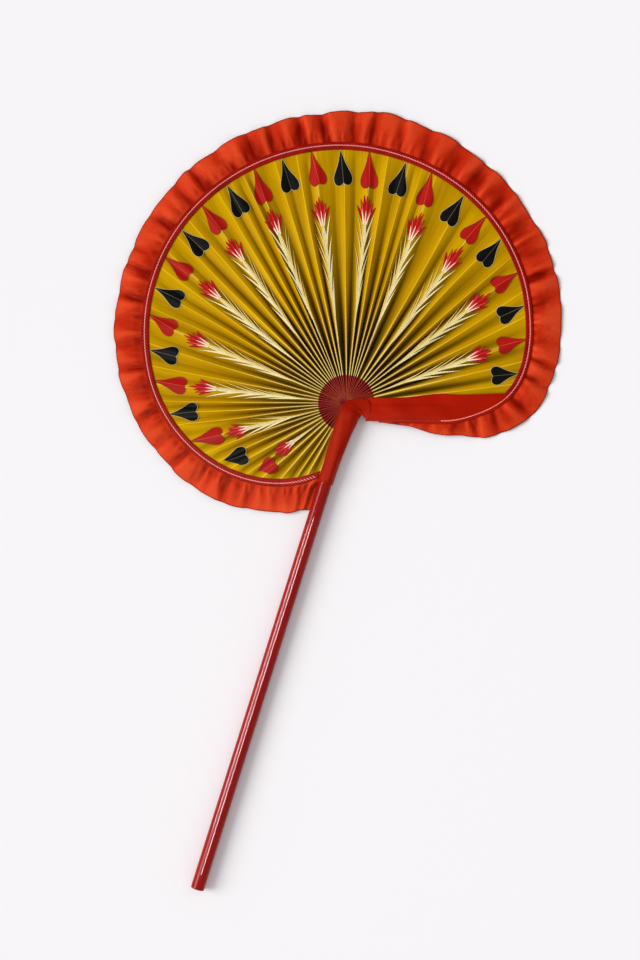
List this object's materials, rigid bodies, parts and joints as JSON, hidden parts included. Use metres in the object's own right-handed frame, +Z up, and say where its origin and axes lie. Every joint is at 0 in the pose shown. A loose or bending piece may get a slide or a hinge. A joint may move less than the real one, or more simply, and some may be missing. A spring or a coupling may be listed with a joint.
{
  "type": "palm leaf fan",
  "caption": "Large hand fan: a pleated, painted palm leaf lashed to a lacquered stick, with a taped and stitched rim and a gathered cloth ruffle.",
  "frame": {"origin": "middle of the base, on the surface that the fan lies on", "axes": "+Y along the handle from its butt to the leaf, +X to the right, +Z up out of the leaf's front"},
  "size_m": [0.5512, 0.9932, 0.0204],
  "materials": {
    "lacquered_stick": "dark red gloss lacquer",
    "painted_leaf": "dried palm leaf, painted yellow, satin",
    "lashing_thread": "waxed thread",
    "sleeve_cloth": "red satin cloth",
    "split_cane": "bare split cane",
    "rim_tape": "dark red woven tape",
    "stitching_thread": "pale pink thread",
    "ruffle_cloth": "red satin cloth"
  },
  "bodies": {
    "root": {"handle_rod": "lacquered_stick", "leaf_blade": "painted_leaf", "leaf_lashing_1": "lashing_thread", "leaf_lashing_2": "lashing_thread", "leaf_lashing_3": "lashing_thread", "leaf_lashing_4": "lashing_thread", "neck_sleeve": "sleeve_cloth", "band_rib": "split_cane", "band_facing_front": "sleeve_cloth", "band_facing_back": "sleeve_cloth", "rim_tape_front": "rim_tape", "rim_tape_back": "rim_tape", "rim_stitching_front": "stitching_thread", "rim_stitching_back": "stitching_thread", "ruffle": "ruffle_cloth"}
  },
  "joints": []
}
